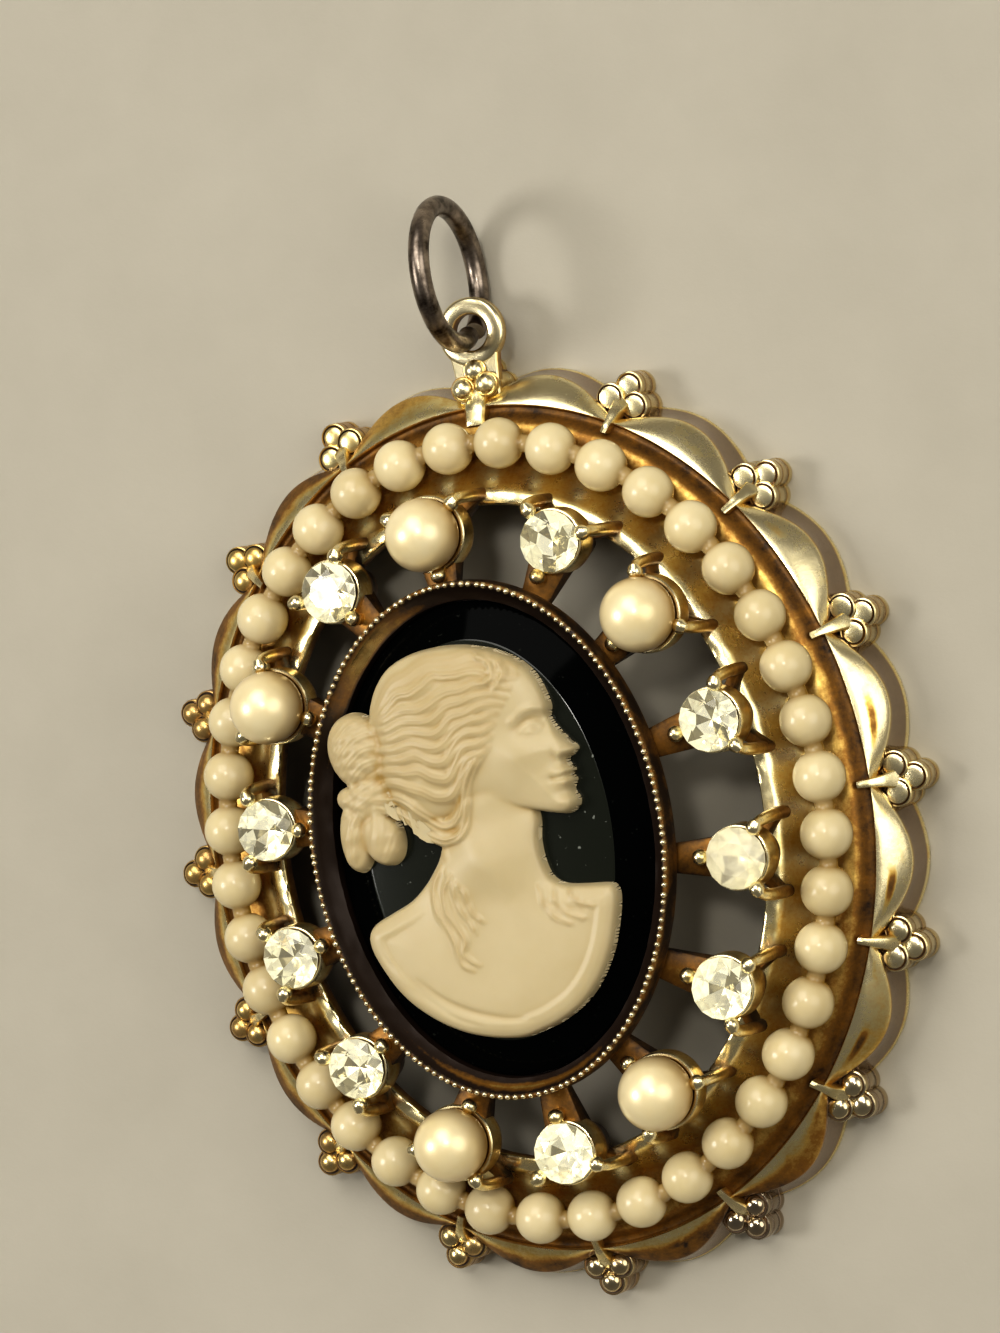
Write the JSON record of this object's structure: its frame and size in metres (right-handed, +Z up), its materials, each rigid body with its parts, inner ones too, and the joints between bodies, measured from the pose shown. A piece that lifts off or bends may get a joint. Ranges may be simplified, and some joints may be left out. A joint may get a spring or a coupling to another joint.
{
  "type": "cameo pendant",
  "caption": "Oval cameo pendant: raised bust on a dark plate in a beaded bezel, prong-set stones and pearls round it, a string of small pearls, a scalloped gilt rim and a jump ring.",
  "frame": {"origin": "under the middle of the whole jewel, its jump ring included, on the surface that the rim's foot rests on", "axes": "+Z up out of the cameo's face, +Y along the oval's long axis to the top, where the jump ring is, +X to the side that the bust faces"},
  "size_m": [0.044, 0.0593, 0.0111],
  "materials": {
    "gilt_brass": "gilt over brass, bright on the high edges, brown patina in the recesses, silvery where the gilding has worn",
    "black_glass": "polished opaque black glass",
    "ivory_resin": "moulded cream resin, satin, with darker grime in the recesses",
    "rhinestone_glass": "cut clear glass with a foiled back",
    "champagne_pearl": "imitation pearl with a champagne lacquer",
    "cream_pearl": "moulded cream beads, satin",
    "thread": "cream thread",
    "tarnished_wire": "round wire, plating darkened to grey-brown"
  },
  "bodies": {
    "root": {"frame": "gilt_brass", "cameo_base": "black_glass", "cameo_bust": "ivory_resin", "rhinestone_1": "rhinestone_glass", "rhinestone_2": "rhinestone_glass", "rhinestone_3": "rhinestone_glass", "rhinestone_4": "rhinestone_glass", "rhinestone_5": "rhinestone_glass", "rhinestone_6": "rhinestone_glass", "rhinestone_7": "rhinestone_glass", "rhinestone_8": "rhinestone_glass", "rhinestone_9": "rhinestone_glass", "large_pearl_1": "champagne_pearl", "large_pearl_2": "champagne_pearl", "large_pearl_3": "champagne_pearl", "large_pearl_4": "champagne_pearl", "large_pearl_5": "champagne_pearl", "small_pearl_string": "cream_pearl", "string_thread": "thread", "jump_ring": "tarnished_wire"}
  },
  "joints": []
}
